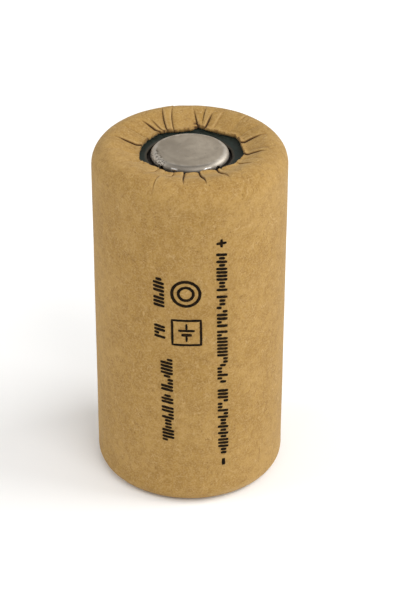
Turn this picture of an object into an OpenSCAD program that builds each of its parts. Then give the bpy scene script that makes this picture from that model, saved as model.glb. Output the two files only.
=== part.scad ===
// Sealed rechargeable cell of Sub-C size, in a kraft paper sleeve folded over at both ends.
// The origin is the centre of the plane that the sleeve's lower fold stands on, and +Z runs up
// the cell's axis to the positive cap. Lengths are in millimetres.

/* [Overall] */
// Outside diameter, over the paper sleeve
cell_d = 22.6; // [22.4:0.1:23]
// Overall height, from the lower fold to the crest of the upper fold
cell_h = 43; // [42.4:0.1:43.4]

/* [Paper sleeve] */
// Thickness of the kraft paper tube
sleeve_t = 0.38; // [0.34:0.01:0.42]
// Radius of the opening that the upper fold leaves round the cap
top_opening_r = 5.9; // [5.6:0.1:6.1]
// Radius of the opening that the lower fold leaves over the can's base
base_opening_r = 6.4; // [6.2:0.1:7]
// Outside radius of the corner at the lower fold
base_corner_r = 1.7; // [1.5:0.1:1.8]
// Distance from the sleeve's outside to the crest of the upper fold
crest_inset = 2.2; // [2.1:0.05:2.3]

/* [Insulating washer] */
// Thickness of the fibre washer
washer_t = 0.3; // [0.25:0.01:0.35]
// Radius of the washer's hole
washer_hole_r = 4.9; // [4.7:0.1:5.2]

/* [Positive cap] */
// Outside radius of the cap's raised face
cap_r = 4.5; // [4.2:0.1:4.6]
// Thickness of the cap's sheet
cap_t = 0.3; // [0.25:0.01:0.35]
// Depth of the cap's face below the sleeve's crest
cap_recess = 0.85; // [0.75:0.01:0.95]
// Radius of the cap's welded flange
cap_flange_r = 6.9; // [6.5:0.1:7.2]
// Number of gas holes round the cap's wall
cap_hole_count = 4; // [2:1:6]
// Radius of each gas hole
cap_hole_r = 0.32; // [0.25:0.01:0.35]

/* [Can and cover] */
// Thickness of the can's wall
can_t = 0.3; // [0.25:0.01:0.32]
// Depth of the bead rolled into the can's wall
bead_depth = 1.0; // [0.9:0.05:1.1]
// Radius of the raised contact boss under the can
boss_r = 5.4; // [5:0.1:5.6]
// Height of the contact boss below the rest of the base
boss_drop = 0.18; // [0.1:0.01:0.2]
// Slope of the can's lip and of the dish inside the upper fold
dish_angle = 25; // [20:1:28]
// Thickness of the cover plate
cover_t = 0.5; // [0.45:0.01:0.55]
// Depth of the well pressed into the cover plate
well_depth = 1.15; // [1.1:0.01:1.2]

/* [Safety vent] */
// Radius of the gas hole that the vent seals
vent_hole_r = 1.0; // [0.8:0.05:1.2]
// Radius of the rubber seal
seal_r = 2.4; // [2.2:0.05:2.5]
// Thickness of the rubber seal
seal_t = 0.8; // [0.7:0.01:0.85]
// Diameter of the spring's wire
wire_d = 0.3; // [0.25:0.01:0.32]
// Turns of the spring
spring_turns = 1.75; // [1.5:0.25:2]

/* [Wound plates] */
// Radius of the hollow left by the winding mandrel
core_r = 1.9; // [1.7:0.1:2.2]
// Thickness of each separator
separator_t = 0.18; // [0.15:0.01:0.2]
// Thickness of each of the two active layers on the positive plate
positive_layer_t = 0.3; // [0.28:0.01:0.32]
// Thickness of each of the two active layers on the negative plate
negative_layer_t = 0.21; // [0.19:0.01:0.24]
// Thickness of the perforated foil in each plate
foil_t = 0.08; // [0.06:0.01:0.1]

/* [Collectors] */
// Thickness of the disc welded to the positive foil
positive_collector_t = 0.25; // [0.2:0.01:0.3]
// Thickness of the disc welded to the negative foil
negative_collector_t = 0.2; // [0.15:0.01:0.25]
// Width of the positive lead
lead_w = 5; // [4:0.1:5.5]
// Thickness of the positive lead
lead_t = 0.2; // [0.15:0.01:0.25]

/* [Hidden] */

arc_step = 7.5;          // degrees between the points of an arc
gap = 0.02;              // air between pieces that lie face to face
hair = 0.005;            // air between the bonded layers of a plate

cell_r = cell_d / 2;
can_r = cell_r - sleeve_t - gap;
can_inner_r = can_r - can_t;
wall_r = can_r - can_t / 2;

// Upper rim: the can's lip, the washer and the sleeve's fold are concentric layers.
lip_r = can_r - (cell_r - crest_inset);
layers_t = gap + washer_t + gap + sleeve_t;
rim_c = [cell_r - crest_inset, cell_h - lip_r - layers_t];
lip_run = 0.55;          // straight end of the lip, past its bend
dish_run = 1.6;          // straight slope between the crest's arc and the dish's fillet
dish_r = 1.6;            // fillet where the slope meets the flat of the dish
slope_out = [-sin(dish_angle), cos(dish_angle)];
slope_down = [-cos(dish_angle), -sin(dish_angle)];
dish_c = rim_c + (lip_r + dish_r) * slope_out + dish_run * slope_down;

// Base of the can
can_corner_r = base_corner_r - sleeve_t - gap;
base_z = sleeve_t + gap;
boss_slope = 0.4;        // width of the slope round the boss
floor_z = base_z + can_t;

// Cover plate, gasket and bead, set down from the rim
cover_r = 9.8;
cover_top = rim_c[1] + 0.27;
cover_base = cover_top - cover_t;
well_r = 3.5;            // middle of the well's wall
well_fillet = 0.45;
well_floor = cover_top - well_depth;
gasket_t = 0.67;         // gasket under the cover's edge
gasket_base = cover_base - gasket_t;
gasket_in_r = 8.9;       // gasket's inner radius below the cover
gasket_top_r = 7.75;     // gasket's inner radius above the cover
film_t = 0.08;
film_gap = 0.01;
gasket_gap = film_t + 2 * film_gap;
bead_angle = 80;
bead_sum_r = bead_depth / (1 - cos(bead_angle));
bead_in_r = 0.55;
bead_out_r = bead_sum_r - bead_in_r;
bead_half = bead_sum_r * sin(bead_angle);
bead_z = gasket_base - bead_half + (bead_in_r - can_t / 2 - gasket_gap);

// Positive cap
cap_top = cell_h - cap_recess;
cap_bend = 0.5;          // middle radius of the bend round the cap's face
cap_foot = 0.35;         // middle radius of the bend into the flange
cap_wall_r = cap_r - cap_t / 2;
cap_hole_z = cover_top + cap_t + cap_foot;

// Safety vent
seal_base = well_floor + gap / 2;
vent_plate_t = 0.2;
vent_plate_r = seal_r + 0.2;
vent_rim_h = 0.4;
spring_base = seal_base + seal_t + vent_plate_t + gap;
spring_top = cap_top - cap_t - gap;
spring_r = 1.7;          // middle of the spring's coil
wire_sides = 10;
rings_per_turn = 22;

// Winding
positive_t = 2 * positive_layer_t + foil_t + 2 * hair;
negative_t = 2 * negative_layer_t + foil_t + 2 * hair;
pitch = 2 * separator_t + positive_t + negative_t + 4 * gap;
wind_step = 8;           // degrees between the points of the winding
wind_last = floor((can_inner_r - 0.1 - core_r - pitch) / pitch * 360 / wind_step);
positive_off = separator_t + gap;
outer_off = positive_off + positive_t + gap;
negative_off = outer_off + separator_t + gap;
positive_start = 6;
positive_end = wind_last - 24;

// Heights of the stack under the bead
insulator_t = 0.4;
insulator_in_r = 8.3;
insulator_top = bead_z - bead_half - 0.04;
collector_top = insulator_top - insulator_t - gap;
roll_top = collector_top - positive_collector_t - gap;
negative_collector_base = floor_z + gap;
roll_base = negative_collector_base + negative_collector_t + gap;
bare_edge = 1.25;        // bare foil that stands out of the active layers
separator_margin = 0.65; // separator that stands out of the active layers
layers_base = roll_base + bare_edge;
layers_top = roll_top - bare_edge;
collector_r = 9.6;
collector_hole_r = 0.8;
collector_hole_count = 6;
weld_dimple_r = 2.6;

// Positive lead
lead_bend_x = 6.2;
lead_foot_x = 2.4;
lead_weld_x = 4.45;
lead_low = collector_top + gap + lead_t / 2;
lead_high = cover_base - gap - lead_t / 2;

nickel = "#b9b7b2";

// ---- outlines ----

function reversed(p) = [for (i = [len(p) - 1 : -1 : 0]) p[i]];
function unit(v) = v / norm(v);
function left_of(v) = [-v[1], v[0]];

// Points on an ellipse about c from angle a0 to a1, which is a circle when rx and ry are equal.
function oval_arc(c, rx, ry, a0, a1) =
    let (n = max(2, ceil(abs(a1 - a0) / arc_step)))
    [for (i = [0 : n]) let (a = a0 + (a1 - a0) * i / n) c + [rx * cos(a), ry * sin(a)]];
function arc(c, r, a0, a1) = oval_arc(c, r, r, a0, a1);

// A path without repeated points.
function clean(p) = [for (i = [0 : len(p) - 1]) if (i == 0 || norm(p[i] - p[i - 1]) > 0.001) p[i]];

// The mitred normal of path p at point i, on its left.
function normal_at(p, i) =
    let (
        last = len(p) - 1,
        ahead = left_of(unit(p[min(i + 1, last)] - p[min(i, last - 1)])),
        behind = left_of(unit(p[max(i, 1)] - p[max(i - 1, 0)])),
        n = unit(ahead + behind)
    )
    n / (n * ahead);

// Path p moved to its left by d.
function shifted(p, d) = [for (i = [0 : len(p) - 1]) p[i] + d * normal_at(p, i)];

// The upper rim's outline at a distance d outside the can's lip, from angle a0 of its arc,
// over the crest, down the slope and along the dish to radius end_r.
function rim_path(d, a0, end_r) = concat(
    arc(rim_c, lip_r + d, a0, 90 + dish_angle),
    arc(dish_c, dish_r - d, dish_angle - 90, -90),
    [[end_r, dish_c[1] - dish_r + d]]
);

// The middle of the can's wall where the bead is rolled in, from below it to above it.
function bead_path() = concat(
    arc([wall_r - bead_in_r, bead_z - bead_half], bead_in_r, 0, bead_angle),
    arc([wall_r - bead_depth + bead_out_r, bead_z], bead_out_r, 180 + bead_angle, 180 - bead_angle),
    shelf_path()
);
function shelf_path() = arc([wall_r - bead_in_r, bead_z + bead_half], bead_in_r, -bead_angle, 0);

// The middle of the can's shoulder and lip, up from the straight wall.
function lip_path() =
    let (bend = arc(rim_c, lip_r - can_t / 2, 0, 90 + dish_angle))
    concat(bend, [bend[len(bend) - 1] + lip_run * slope_down]);

// A bent sheet: the path is the middle of its thickness.
module sheet_profile(path, t) {
    p = clean(path);
    polygon(concat(shifted(p, t / 2), reversed(shifted(p, -t / 2))));
}

module turned_sheet(path, t) rotate_extrude($fn = 96) sheet_profile(path, t);

module ring(inner_r, outer_r, h) rotate_extrude($fn = 96)
    translate([inner_r, 0]) square([outer_r - inner_r, h]);

// ---- outside ----

module paper_sleeve() {
    middle_r = cell_r - sleeve_t / 2;
    rim_d = layers_t - sleeve_t / 2;
    wall_c = [cell_r - base_corner_r, base_corner_r];
    path = concat(
        [[base_opening_r, sleeve_t / 2]],
        arc(wall_c, base_corner_r - sleeve_t / 2, -90, 0),
        oval_arc(rim_c, middle_r - rim_c[0], lip_r + rim_d, 0, 90),
        rim_path(rim_d, 90, top_opening_r)
    );
    color("#c09a5c") turned_sheet(path, sleeve_t);
}

module insulating_washer() color("#1f2623")
    turned_sheet(rim_path(gap + washer_t / 2, 82, washer_hole_r), washer_t);

// ---- positive terminal and vent ----

module positive_cap() {
    top = cap_top - cap_t / 2;
    flange = cover_top + cap_t / 2 + gap / 2;
    path = concat(
        [[0, top]],
        arc([cap_wall_r - cap_bend, top - cap_bend], cap_bend, 90, 0),
        arc([cap_wall_r + cap_foot, flange + cap_foot], cap_foot, 180, 270),
        [[cap_flange_r, flange]]
    );
    color(nickel) difference() {
        turned_sheet(path, cap_t);
        for (i = [0 : cap_hole_count - 1])
            rotate([0, 0, (i + 0.5) * 360 / cap_hole_count])
                translate([cap_wall_r, 0, cap_hole_z])
                    rotate([0, 90, 0])
                        cylinder(r = cap_hole_r, h = 3 * cap_t, center = true, $fn = 48);
    }
}

// Height of the spring's wire along the coil, u from 0 to 1: nearly level at both ends.
function spring_rise(u) = u - 0.85 * sin(360 * u) / (2 * PI);

module vent_spring() {
    n = ceil(spring_turns * rings_per_turn);
    low = spring_base + wire_d / 2;
    high = spring_top - wire_d / 2;
    points = [
        for (i = [0 : n], j = [0 : wire_sides - 1])
        let (
            u = i / n,
            turn = 360 * spring_turns * u,
            side = 360 * j / wire_sides,
            r = spring_r + wire_d / 2 * cos(side)
        )
        [r * cos(turn), r * sin(turn), low + (high - low) * spring_rise(u) + wire_d / 2 * sin(side)]
    ];
    wall = [
        for (i = [0 : n - 1], j = [0 : wire_sides - 1])
        let (a = i * wire_sides + j, b = i * wire_sides + (j + 1) % wire_sides)
        each [[a, b, b + wire_sides], [a, b + wire_sides, a + wire_sides]]
    ];
    start_cap = [for (j = [1 : wire_sides - 2]) [0, j + 1, j]];
    end = n * wire_sides;
    end_cap = [for (j = [1 : wire_sides - 2]) [end, end + j, end + j + 1]];
    color("#8f9092") polyhedron(points, concat(wall, start_cap, end_cap));
}

module vent_plate() {
    z = seal_base + seal_t + vent_plate_t / 2;
    bend = 0.2;
    rim_r = vent_plate_r - vent_plate_t / 2;
    path = concat(
        [[0, z]],
        arc([rim_r - bend, z + bend], bend, -90, 0),
        [[rim_r, z - vent_plate_t / 2 + vent_rim_h]]
    );
    color(nickel) turned_sheet(path, vent_plate_t);
}

module vent_seal() color("#26282a")
    translate([0, 0, seal_base]) cylinder(r = seal_r, h = seal_t - gap / 2, $fn = 96);

module cover_plate() {
    top = cover_top - cover_t / 2;
    low = well_floor - cover_t / 2;
    path = concat(
        [[vent_hole_r, low]],
        arc([well_r - well_fillet, low + well_fillet], well_fillet, -90, 0),
        arc([well_r + well_fillet, top - well_fillet], well_fillet, 180, 90),
        [[cover_r, top]]
    );
    color("#b3b2ad") turned_sheet(path, cover_t);
}

// ---- closure ----

// The can's inner face from the bead's shelf to the end of the lip, moved inward by d.
function closure_path(d) = shifted(clean(concat(shelf_path(), lip_path())), can_t / 2 + d);

module sealing_gasket() {
    outside = closure_path(gasket_gap);
    tip = outside[len(outside) - 1];
    color("#e7e4da") rotate_extrude($fn = 96) polygon(concat(
        [[gasket_in_r, gasket_base]],
        outside,
        [
            [gasket_top_r, tip[1]],
            [gasket_top_r, cover_top + gap],
            [cover_r + gap, cover_top + gap],
            [cover_r + gap, cover_base - gap],
            [gasket_in_r, cover_base - gap]
        ]
    ));
}

module sealant_film() color("#1c1a18") rotate_extrude($fn = 96)
    polygon(concat(closure_path(film_gap), reversed(closure_path(film_gap + film_t))));

module cell_can() {
    middle_z = base_z + can_t / 2;
    path = concat(
        [[0, middle_z - boss_drop], [boss_r, middle_z - boss_drop], [boss_r + boss_slope, middle_z]],
        arc([can_r - can_corner_r, base_z + can_corner_r], can_corner_r - can_t / 2, -90, 0),
        bead_path(),
        lip_path()
    );
    color("#c4c2bd") turned_sheet(path, can_t);
}

// ---- inside ----

module upper_insulator() color("#d9d6cb")
    translate([0, 0, insulator_top - insulator_t])
        ring(insulator_in_r, can_inner_r - 0.15, insulator_t);

module positive_lead() {
    bend_r = (lead_high - lead_low) / 2;
    path = concat(
        [[lead_foot_x, lead_low]],
        arc([lead_bend_x, lead_low + bend_r], bend_r, -90, 90),
        [[lead_weld_x, lead_high]]
    );
    color(nickel) rotate([90, 0, 0])
        linear_extrude(lead_w, center = true) sheet_profile(path, lead_t);
}

module collector_holes(h) {
    for (i = [0 : collector_hole_count - 1])
        rotate([0, 0, (i + 0.5) * 360 / collector_hole_count])
            translate([collector_r * 0.68, 0, -1]) cylinder(r = collector_hole_r, h = h + 2, $fn = 48);
}

module positive_collector() color("#a9a8a4")
    translate([0, 0, collector_top - positive_collector_t]) difference() {
        cylinder(r = collector_r, h = positive_collector_t, $fn = 96);
        translate([0, 0, -1]) cylinder(r = core_r, h = positive_collector_t + 2, $fn = 64);
        collector_holes(positive_collector_t);
    }

module negative_collector() {
    z = negative_collector_base + negative_collector_t / 2;
    low = z - boss_drop;
    path = [[0, low], [weld_dimple_r, low], [weld_dimple_r + boss_slope, z], [collector_r, z]];
    color("#a9a8a4") difference() {
        turned_sheet(path, negative_collector_t);
        collector_holes(negative_collector_base + negative_collector_t);
    }
}

// Inner radius of the winding at angle a.
function wind_r(a) = core_r + pitch * a / 360;
function wind_line(off, first, last) = [
    for (i = [first : last])
    let (a = i * wind_step, r = wind_r(a) + off)
    [r * cos(a), r * sin(a)]
];

// One strip of the winding: off is its distance outside the winding's inner face.
module wound_strip(off, t, first, last, low, high) translate([0, 0, low])
    linear_extrude(high - low)
        polygon(concat(wind_line(off, first, last), reversed(wind_line(off + t, first, last))));

// The two active layers of a plate, either side of its foil.
module wound_layers(off, t, first, last) {
    wound_strip(off, t, first, last, layers_base, layers_top);
    wound_strip(off + t + foil_t + 2 * hair, t, first, last, layers_base, layers_top);
}

module positive_foil() color("#98999a")
    wound_strip(positive_off + positive_layer_t + hair, foil_t,
        positive_start, positive_end, layers_base, roll_top);

module positive_layers() color("#30332f")
    wound_layers(positive_off, positive_layer_t, positive_start, positive_end);

module negative_foil() color("#98999a")
    wound_strip(negative_off + negative_layer_t + hair, foil_t, 0, wind_last, roll_base, layers_top);

module negative_layers() color("#6d7073")
    wound_layers(negative_off, negative_layer_t, 0, wind_last);

module separator(off) color("#ece9e0")
    wound_strip(off, separator_t, 0, wind_last, layers_base - separator_margin,
        layers_top + separator_margin);

paper_sleeve();
insulating_washer();
positive_cap();
vent_spring();
vent_plate();
vent_seal();
cover_plate();
sealing_gasket();
sealant_film();
cell_can();
upper_insulator();
positive_lead();
positive_collector();
positive_foil();
positive_layers();
separator(0);  // separator_inner
separator(outer_off);  // separator_outer
negative_foil();
negative_layers();
negative_collector();
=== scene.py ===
"""Looks of a Sub-C cell in a pleated kraft paper sleeve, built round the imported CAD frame.

Shapes are worked out in millimetres and turned into metres when a mesh is made.
"""

import math
import random

import bmesh
import bpy
import numpy as np
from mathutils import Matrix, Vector, noise


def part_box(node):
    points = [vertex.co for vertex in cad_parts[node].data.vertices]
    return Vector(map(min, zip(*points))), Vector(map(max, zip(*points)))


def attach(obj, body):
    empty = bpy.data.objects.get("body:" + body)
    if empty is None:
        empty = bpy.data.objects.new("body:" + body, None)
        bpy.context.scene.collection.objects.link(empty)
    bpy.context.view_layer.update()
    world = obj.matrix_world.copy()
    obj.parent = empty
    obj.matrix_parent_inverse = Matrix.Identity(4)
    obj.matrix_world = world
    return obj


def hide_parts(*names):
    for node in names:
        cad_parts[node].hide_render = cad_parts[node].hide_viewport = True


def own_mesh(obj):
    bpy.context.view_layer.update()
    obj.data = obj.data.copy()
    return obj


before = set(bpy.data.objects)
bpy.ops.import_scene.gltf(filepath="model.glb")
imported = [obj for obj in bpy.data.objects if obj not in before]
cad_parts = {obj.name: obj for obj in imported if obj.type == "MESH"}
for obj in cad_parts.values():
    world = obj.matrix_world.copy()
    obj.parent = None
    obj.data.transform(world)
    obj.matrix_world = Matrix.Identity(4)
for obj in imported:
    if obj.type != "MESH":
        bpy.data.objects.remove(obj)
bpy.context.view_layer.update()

MM = 0.001


def box_mm(node):
    """Lowest and highest corner of a CAD node, in millimetres."""
    low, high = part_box(node)
    return low / MM, high / MM


# ---------------------------------------------------------------- sizes from the frame
CELL_R = box_mm("paper_sleeve")[1].x
CELL_H = box_mm("paper_sleeve")[1].z
WASHER_TOP = box_mm("insulating_washer")[1].z
CAP_TOP = box_mm("positive_cap")[1].z
CAN_R = box_mm("cell_can")[1].x
GAP = CELL_R - CAN_R - 0.38  # air under the sleeve
PAPER = CELL_H - WASHER_TOP - GAP  # thickness of the sleeve's paper

# The sleeve's upper fold, as the frame has it: crest, slope, fillet and flat dish.
CREST_R = CELL_R - 2.2
CREST_ROUND = 2.52
DISH_ANGLE = math.radians(25)
DISH_RUN = 1.6
DISH_FILLET = 0.88
TOP_HOLE_R = 5.9
BASE_HOLE_R = 6.4
BASE_ROUND = 1.7


# ---------------------------------------------------------------- small helpers
def smooth(x):
    """0 below 0, 1 above 1 and an S-curve between, for numbers and arrays."""
    x = np.clip(x, 0, 1)
    return x * x * (3 - 2 * x)


def make_object(name, points, faces, smooth_shade=True):
    """A mesh object from points in millimetres."""
    mesh = bpy.data.meshes.new(name)
    mesh.from_pydata((np.asarray(points, float) * MM).tolist(), [], faces)
    mesh.validate()
    shape = bmesh.new()
    shape.from_mesh(mesh)
    bmesh.ops.recalc_face_normals(shape, faces=shape.faces)
    shape.to_mesh(mesh)
    shape.free()
    if smooth_shade:
        mesh.polygons.foreach_set("use_smooth", [True] * len(mesh.polygons))
    obj = bpy.data.objects.new(name, mesh)
    bpy.context.scene.collection.objects.link(obj)
    return obj


def add_attribute(obj, name, values):
    """One number for each vertex, which a material can read."""
    layer = obj.data.attributes.new(name, "FLOAT", "POINT")
    layer.data.foreach_set("value", np.asarray(values, np.float32).ravel())


def grid_faces(rows, columns):
    """Quads of a grid that closes on itself round its columns."""
    faces = []
    for k in range(rows - 1):
        for j in range(columns):
            a = k * columns + j
            b = k * columns + (j + 1) % columns
            faces.append((a, b, b + columns, a + columns))
    return faces


def noise_at(points, scale, seed):
    """Smooth noise from about -1 to 1 at each point, with features of about scale millimetres."""
    shift = Vector((seed * 7.13, seed * 3.71, seed * 5.37))
    flat = np.asarray(points, float).reshape(-1, 3) / scale
    values = [noise.noise(Vector(p) + shift) for p in flat]
    return np.array(values).reshape(np.shape(points)[:-1])


# ---------------------------------------------------------------- materials
class Shader:
    """Builds one material. Its methods add a node and return its output."""

    def __init__(self, name, roughness=0.5, metallic=0.0, **sockets):
        self.material = bpy.data.materials.new(name)
        self.material.use_nodes = True
        self.tree = self.material.node_tree
        self.bsdf = self.tree.nodes["Principled BSDF"]
        self.bsdf.inputs["Roughness"].default_value = roughness
        self.bsdf.inputs["Metallic"].default_value = metallic
        for socket, value in sockets.items():
            self.bsdf.inputs[socket.replace("_", " ")].default_value = value
        coordinates = self.tree.nodes.new("ShaderNodeTexCoord").outputs["Object"]
        self.mm = self.stretch(coordinates, (1 / MM,) * 3)

    def node(self, kind, **settings):
        made = self.tree.nodes.new("ShaderNode" + kind)
        for key, value in settings.items():
            setattr(made, key, value)
        return made

    def put(self, value, socket):
        """Joins an output to a socket, or sets the socket to a plain value."""
        if isinstance(value, bpy.types.NodeSocket):
            self.tree.links.new(value, socket)
        elif socket.type == "RGBA" and len(value) == 3:
            socket.default_value = (*value, 1)
        else:
            socket.default_value = value

    def stretch(self, vector, scale, turn=(0, 0, 0)):
        made = self.node("Mapping")
        self.put(vector, made.inputs["Vector"])
        made.inputs["Scale"].default_value = scale
        made.inputs["Rotation"].default_value = turn
        return made.outputs["Vector"]

    def noise(self, scale, detail=2.0, rough=0.5, distortion=0.0, vector=None):
        """Noise with scale features to a millimetre."""
        made = self.node("TexNoise")
        self.put(vector or self.mm, made.inputs["Vector"])
        made.inputs["Scale"].default_value = scale
        made.inputs["Detail"].default_value = detail
        made.inputs["Roughness"].default_value = rough
        made.inputs["Distortion"].default_value = distortion
        return made.outputs["Fac"]

    def cells(self, scale, vector=None, feature="F1", output="Distance"):
        made = self.node("TexVoronoi", feature=feature)
        self.put(vector or self.mm, made.inputs["Vector"])
        made.inputs["Scale"].default_value = scale
        return made.outputs[output]

    def attribute(self, name):
        return self.node("Attribute", attribute_name=name).outputs["Fac"]

    def math(self, operation, a, b=0.0, clamp=False):
        made = self.node("Math", operation=operation, use_clamp=clamp)
        self.put(a, made.inputs[0])
        self.put(b, made.inputs[1])
        return made.outputs["Value"]

    def product(self, *values):
        total = values[0]
        for value in values[1:]:
            total = self.math("MULTIPLY", total, value)
        return total

    def fade(self, value, low, high, to_low=0.0, to_high=1.0):
        """Turns low..high into to_low..to_high along an S-curve."""
        made = self.node("MapRange", interpolation_type="SMOOTHSTEP")
        self.put(value, made.inputs["Value"])
        for socket, number in zip(("From Min", "From Max", "To Min", "To Max"),
                                  (low, high, to_low, to_high)):
            made.inputs[socket].default_value = number
        return made.outputs["Result"]

    def mix(self, factor, a, b, blend="MIX"):
        """A colour between a and b."""
        made = self.node("Mix", data_type="RGBA", blend_type=blend)
        self.put(factor, made.inputs[0])
        self.put(a, made.inputs[6])
        self.put(b, made.inputs[7])
        return made.outputs[2]

    def strand(self, scale, width, seed_turn, vector=None):
        """Thin curved threads, 1 on a thread and 0 off it."""
        turned = self.stretch(vector or self.mm, (1, 1, 1), seed_turn)
        field = self.noise(scale, 1.0, 0.5, 0.6, turned)
        ridge = self.math("ABSOLUTE", self.math("SUBTRACT", field, 0.5))
        line = self.fade(ridge, 0.0, width, 1.0, 0.0)
        broken = self.fade(self.noise(scale * 0.8, 2.0, 0.5, 0.0, turned), 0.5, 0.62)
        return self.math("MULTIPLY", line, broken)

    def threads(self, first, second):
        """Two sets of strands together."""
        return self.math("MAXIMUM", self.strand(*first), self.strand(*second))

    def scratches(self):
        return self.threads((0.35, 0.006, (0.3, 0.2, 0.9)), (0.5, 0.006, (0.1, 0.4, 2.4)))

    def bump(self, height, strength, depth):
        """Relief of depth millimetres, added to what is there."""
        made = self.node("Bump")
        made.inputs["Strength"].default_value = strength
        made.inputs["Distance"].default_value = depth * MM
        self.put(height, made.inputs["Height"])
        normal = self.bsdf.inputs["Normal"]
        if normal.links:
            self.put(normal.links[0].from_socket, made.inputs["Normal"])
        self.put(made.outputs["Normal"], normal)

    def finish(self, colour, roughness=None):
        self.put(colour, self.bsdf.inputs["Base Color"])
        if roughness is not None:
            self.put(roughness, self.bsdf.inputs["Roughness"])
        return self.material


def kraft_paper():
    s = Shader("kraft_paper", roughness=0.88, Specular_IOR_Level=0.2, Sheen_Weight=0.10,
               Sheen_Roughness=0.5, Sheen_Tint=(1.0, 0.86, 0.62, 1))
    cloud = s.noise(0.14, 3.0, 0.55)
    mottle = s.noise(1.1, 5.0, 0.68)
    grain = s.noise(4.5, 3.0, 0.65)
    colour = s.mix(s.fade(cloud, 0.34, 0.66), (0.338, 0.198, 0.052), (0.382, 0.232, 0.069))
    dull = s.mix(1.0, colour, (0.82, 0.78, 0.72), "MULTIPLY")
    colour = s.mix(s.fade(mottle, 0.36, 0.64), dull, colour)
    colour = s.mix(s.fade(grain, 0.38, 0.70, 0.0, 0.45), colour, (0.50, 0.33, 0.14))
    pale = s.threads((0.75, 0.020, (0.4, 1.1, 0.2)), (1.1, 0.022, (1.9, 0.3, 0.8)))
    dark = s.threads((0.9, 0.018, (0.9, 2.0, 1.4)), (1.3, 0.02, (2.4, 0.7, 0.3)))
    speck = s.fade(s.cells(0.9), 0.05, 0.11, 1.0, 0.0)
    colour = s.mix(s.math("MULTIPLY", pale, 0.40), colour, (0.56, 0.39, 0.18))
    colour = s.mix(s.math("MULTIPLY", dark, 0.50), colour, (0.19, 0.098, 0.030))
    colour = s.mix(s.math("MULTIPLY", speck, 0.55), colour, (0.16, 0.080, 0.026))
    # Painted highlight: paler beside the pleats' folds and along the lower corner at the front right.
    colour = s.mix(s.math("MULTIPLY", s.attribute("painted_highlight"), 0.40), colour, (0.50, 0.345, 0.155))
    # Painted shade darkens the creases, the tuck and the wrinkles; the same attribute also carries
    # the seam's line, the frayed hole edge and the shaded cut edges.
    shade_and_marks = s.attribute("shade_and_marks")
    colour = s.mix(s.fade(shade_and_marks, 0.0, 0.55, 0.0, 0.80), colour, (0.180, 0.092, 0.028))
    colour = s.mix(s.fade(shade_and_marks, 0.35, 1.0, 0.0, 0.92), colour, (0.048, 0.020, 0.007))
    height = s.math("ADD", s.math("MULTIPLY", mottle, 0.6), s.math("MULTIPLY", grain, 0.4))
    s.bump(height, 0.7, 0.045)
    s.bump(s.math("SUBTRACT", pale, dark), 0.35, 0.02)
    return s.finish(colour, s.fade(mottle, 0.3, 0.7, 0.80, 0.94))


def print_ink():
    s = Shader("print_ink", roughness=0.85, Specular_IOR_Level=0.08)
    worn = s.noise(2.6, 4.0, 0.6)
    colour = s.mix(s.fade(worn, 0.42, 0.75), (0.005, 0.003, 0.001), (0.030, 0.015, 0.005))
    s.bump(s.noise(6.0, 2.0), 0.3, 0.01)
    return s.finish(colour, s.fade(worn, 0.3, 0.7, 0.78, 0.92))


def fish_paper():
    s = Shader("fish_paper", roughness=0.6, Specular_IOR_Level=0.25)
    fibre = s.noise(3.0, 4.0, 0.65)
    colour = s.mix(s.fade(fibre, 0.35, 0.7), (0.005, 0.009, 0.007), (0.016, 0.025, 0.020))
    colour = s.mix(s.math("MULTIPLY", s.attribute("frayed"), 0.6), colour, (0.070, 0.050, 0.032))
    s.bump(fibre, 0.5, 0.03)
    return s.finish(colour, s.fade(fibre, 0.3, 0.7, 0.42, 0.68))


def metal(name, dark, bright, roughness, stain=None):
    """Plated or bare sheet: cloudy tone, fine brushing along Y, random scratches and stains."""
    s = Shader(name, roughness=roughness, metallic=1.0)
    cloud = s.noise(0.45, 4.0, 0.6, 0.4)
    fine = s.noise(9.0, 2.0, 0.5)
    colour = s.mix(s.fade(cloud, 0.3, 0.7), dark, bright)
    lines = s.noise(6.0, 3.0, 0.6, 0.0, s.stretch(s.mm, (0.12, 1.6, 1.6), (0, 0, 0.35)))
    darker = s.mix(1.0, colour, (0.6, 0.6, 0.6), "MULTIPLY")
    colour = s.mix(s.math("MULTIPLY", lines, 0.35), colour, darker)
    hair = s.scratches()
    colour = s.mix(s.math("MULTIPLY", hair, 0.25), colour, (0.75, 0.73, 0.70))
    if stain:
        spots = s.fade(s.noise(1.1, 4.0, 0.7, 0.8), 0.58, 0.72)
        colour = s.mix(s.math("MULTIPLY", spots, 0.45), colour, stain)
    s.bump(lines, 0.25, 0.01)
    s.bump(fine, 0.2, 0.006)
    s.bump(hair, 0.3, -0.01)
    return s.finish(colour, s.fade(cloud, 0.3, 0.7, roughness * 0.85, roughness * 1.2))


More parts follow.
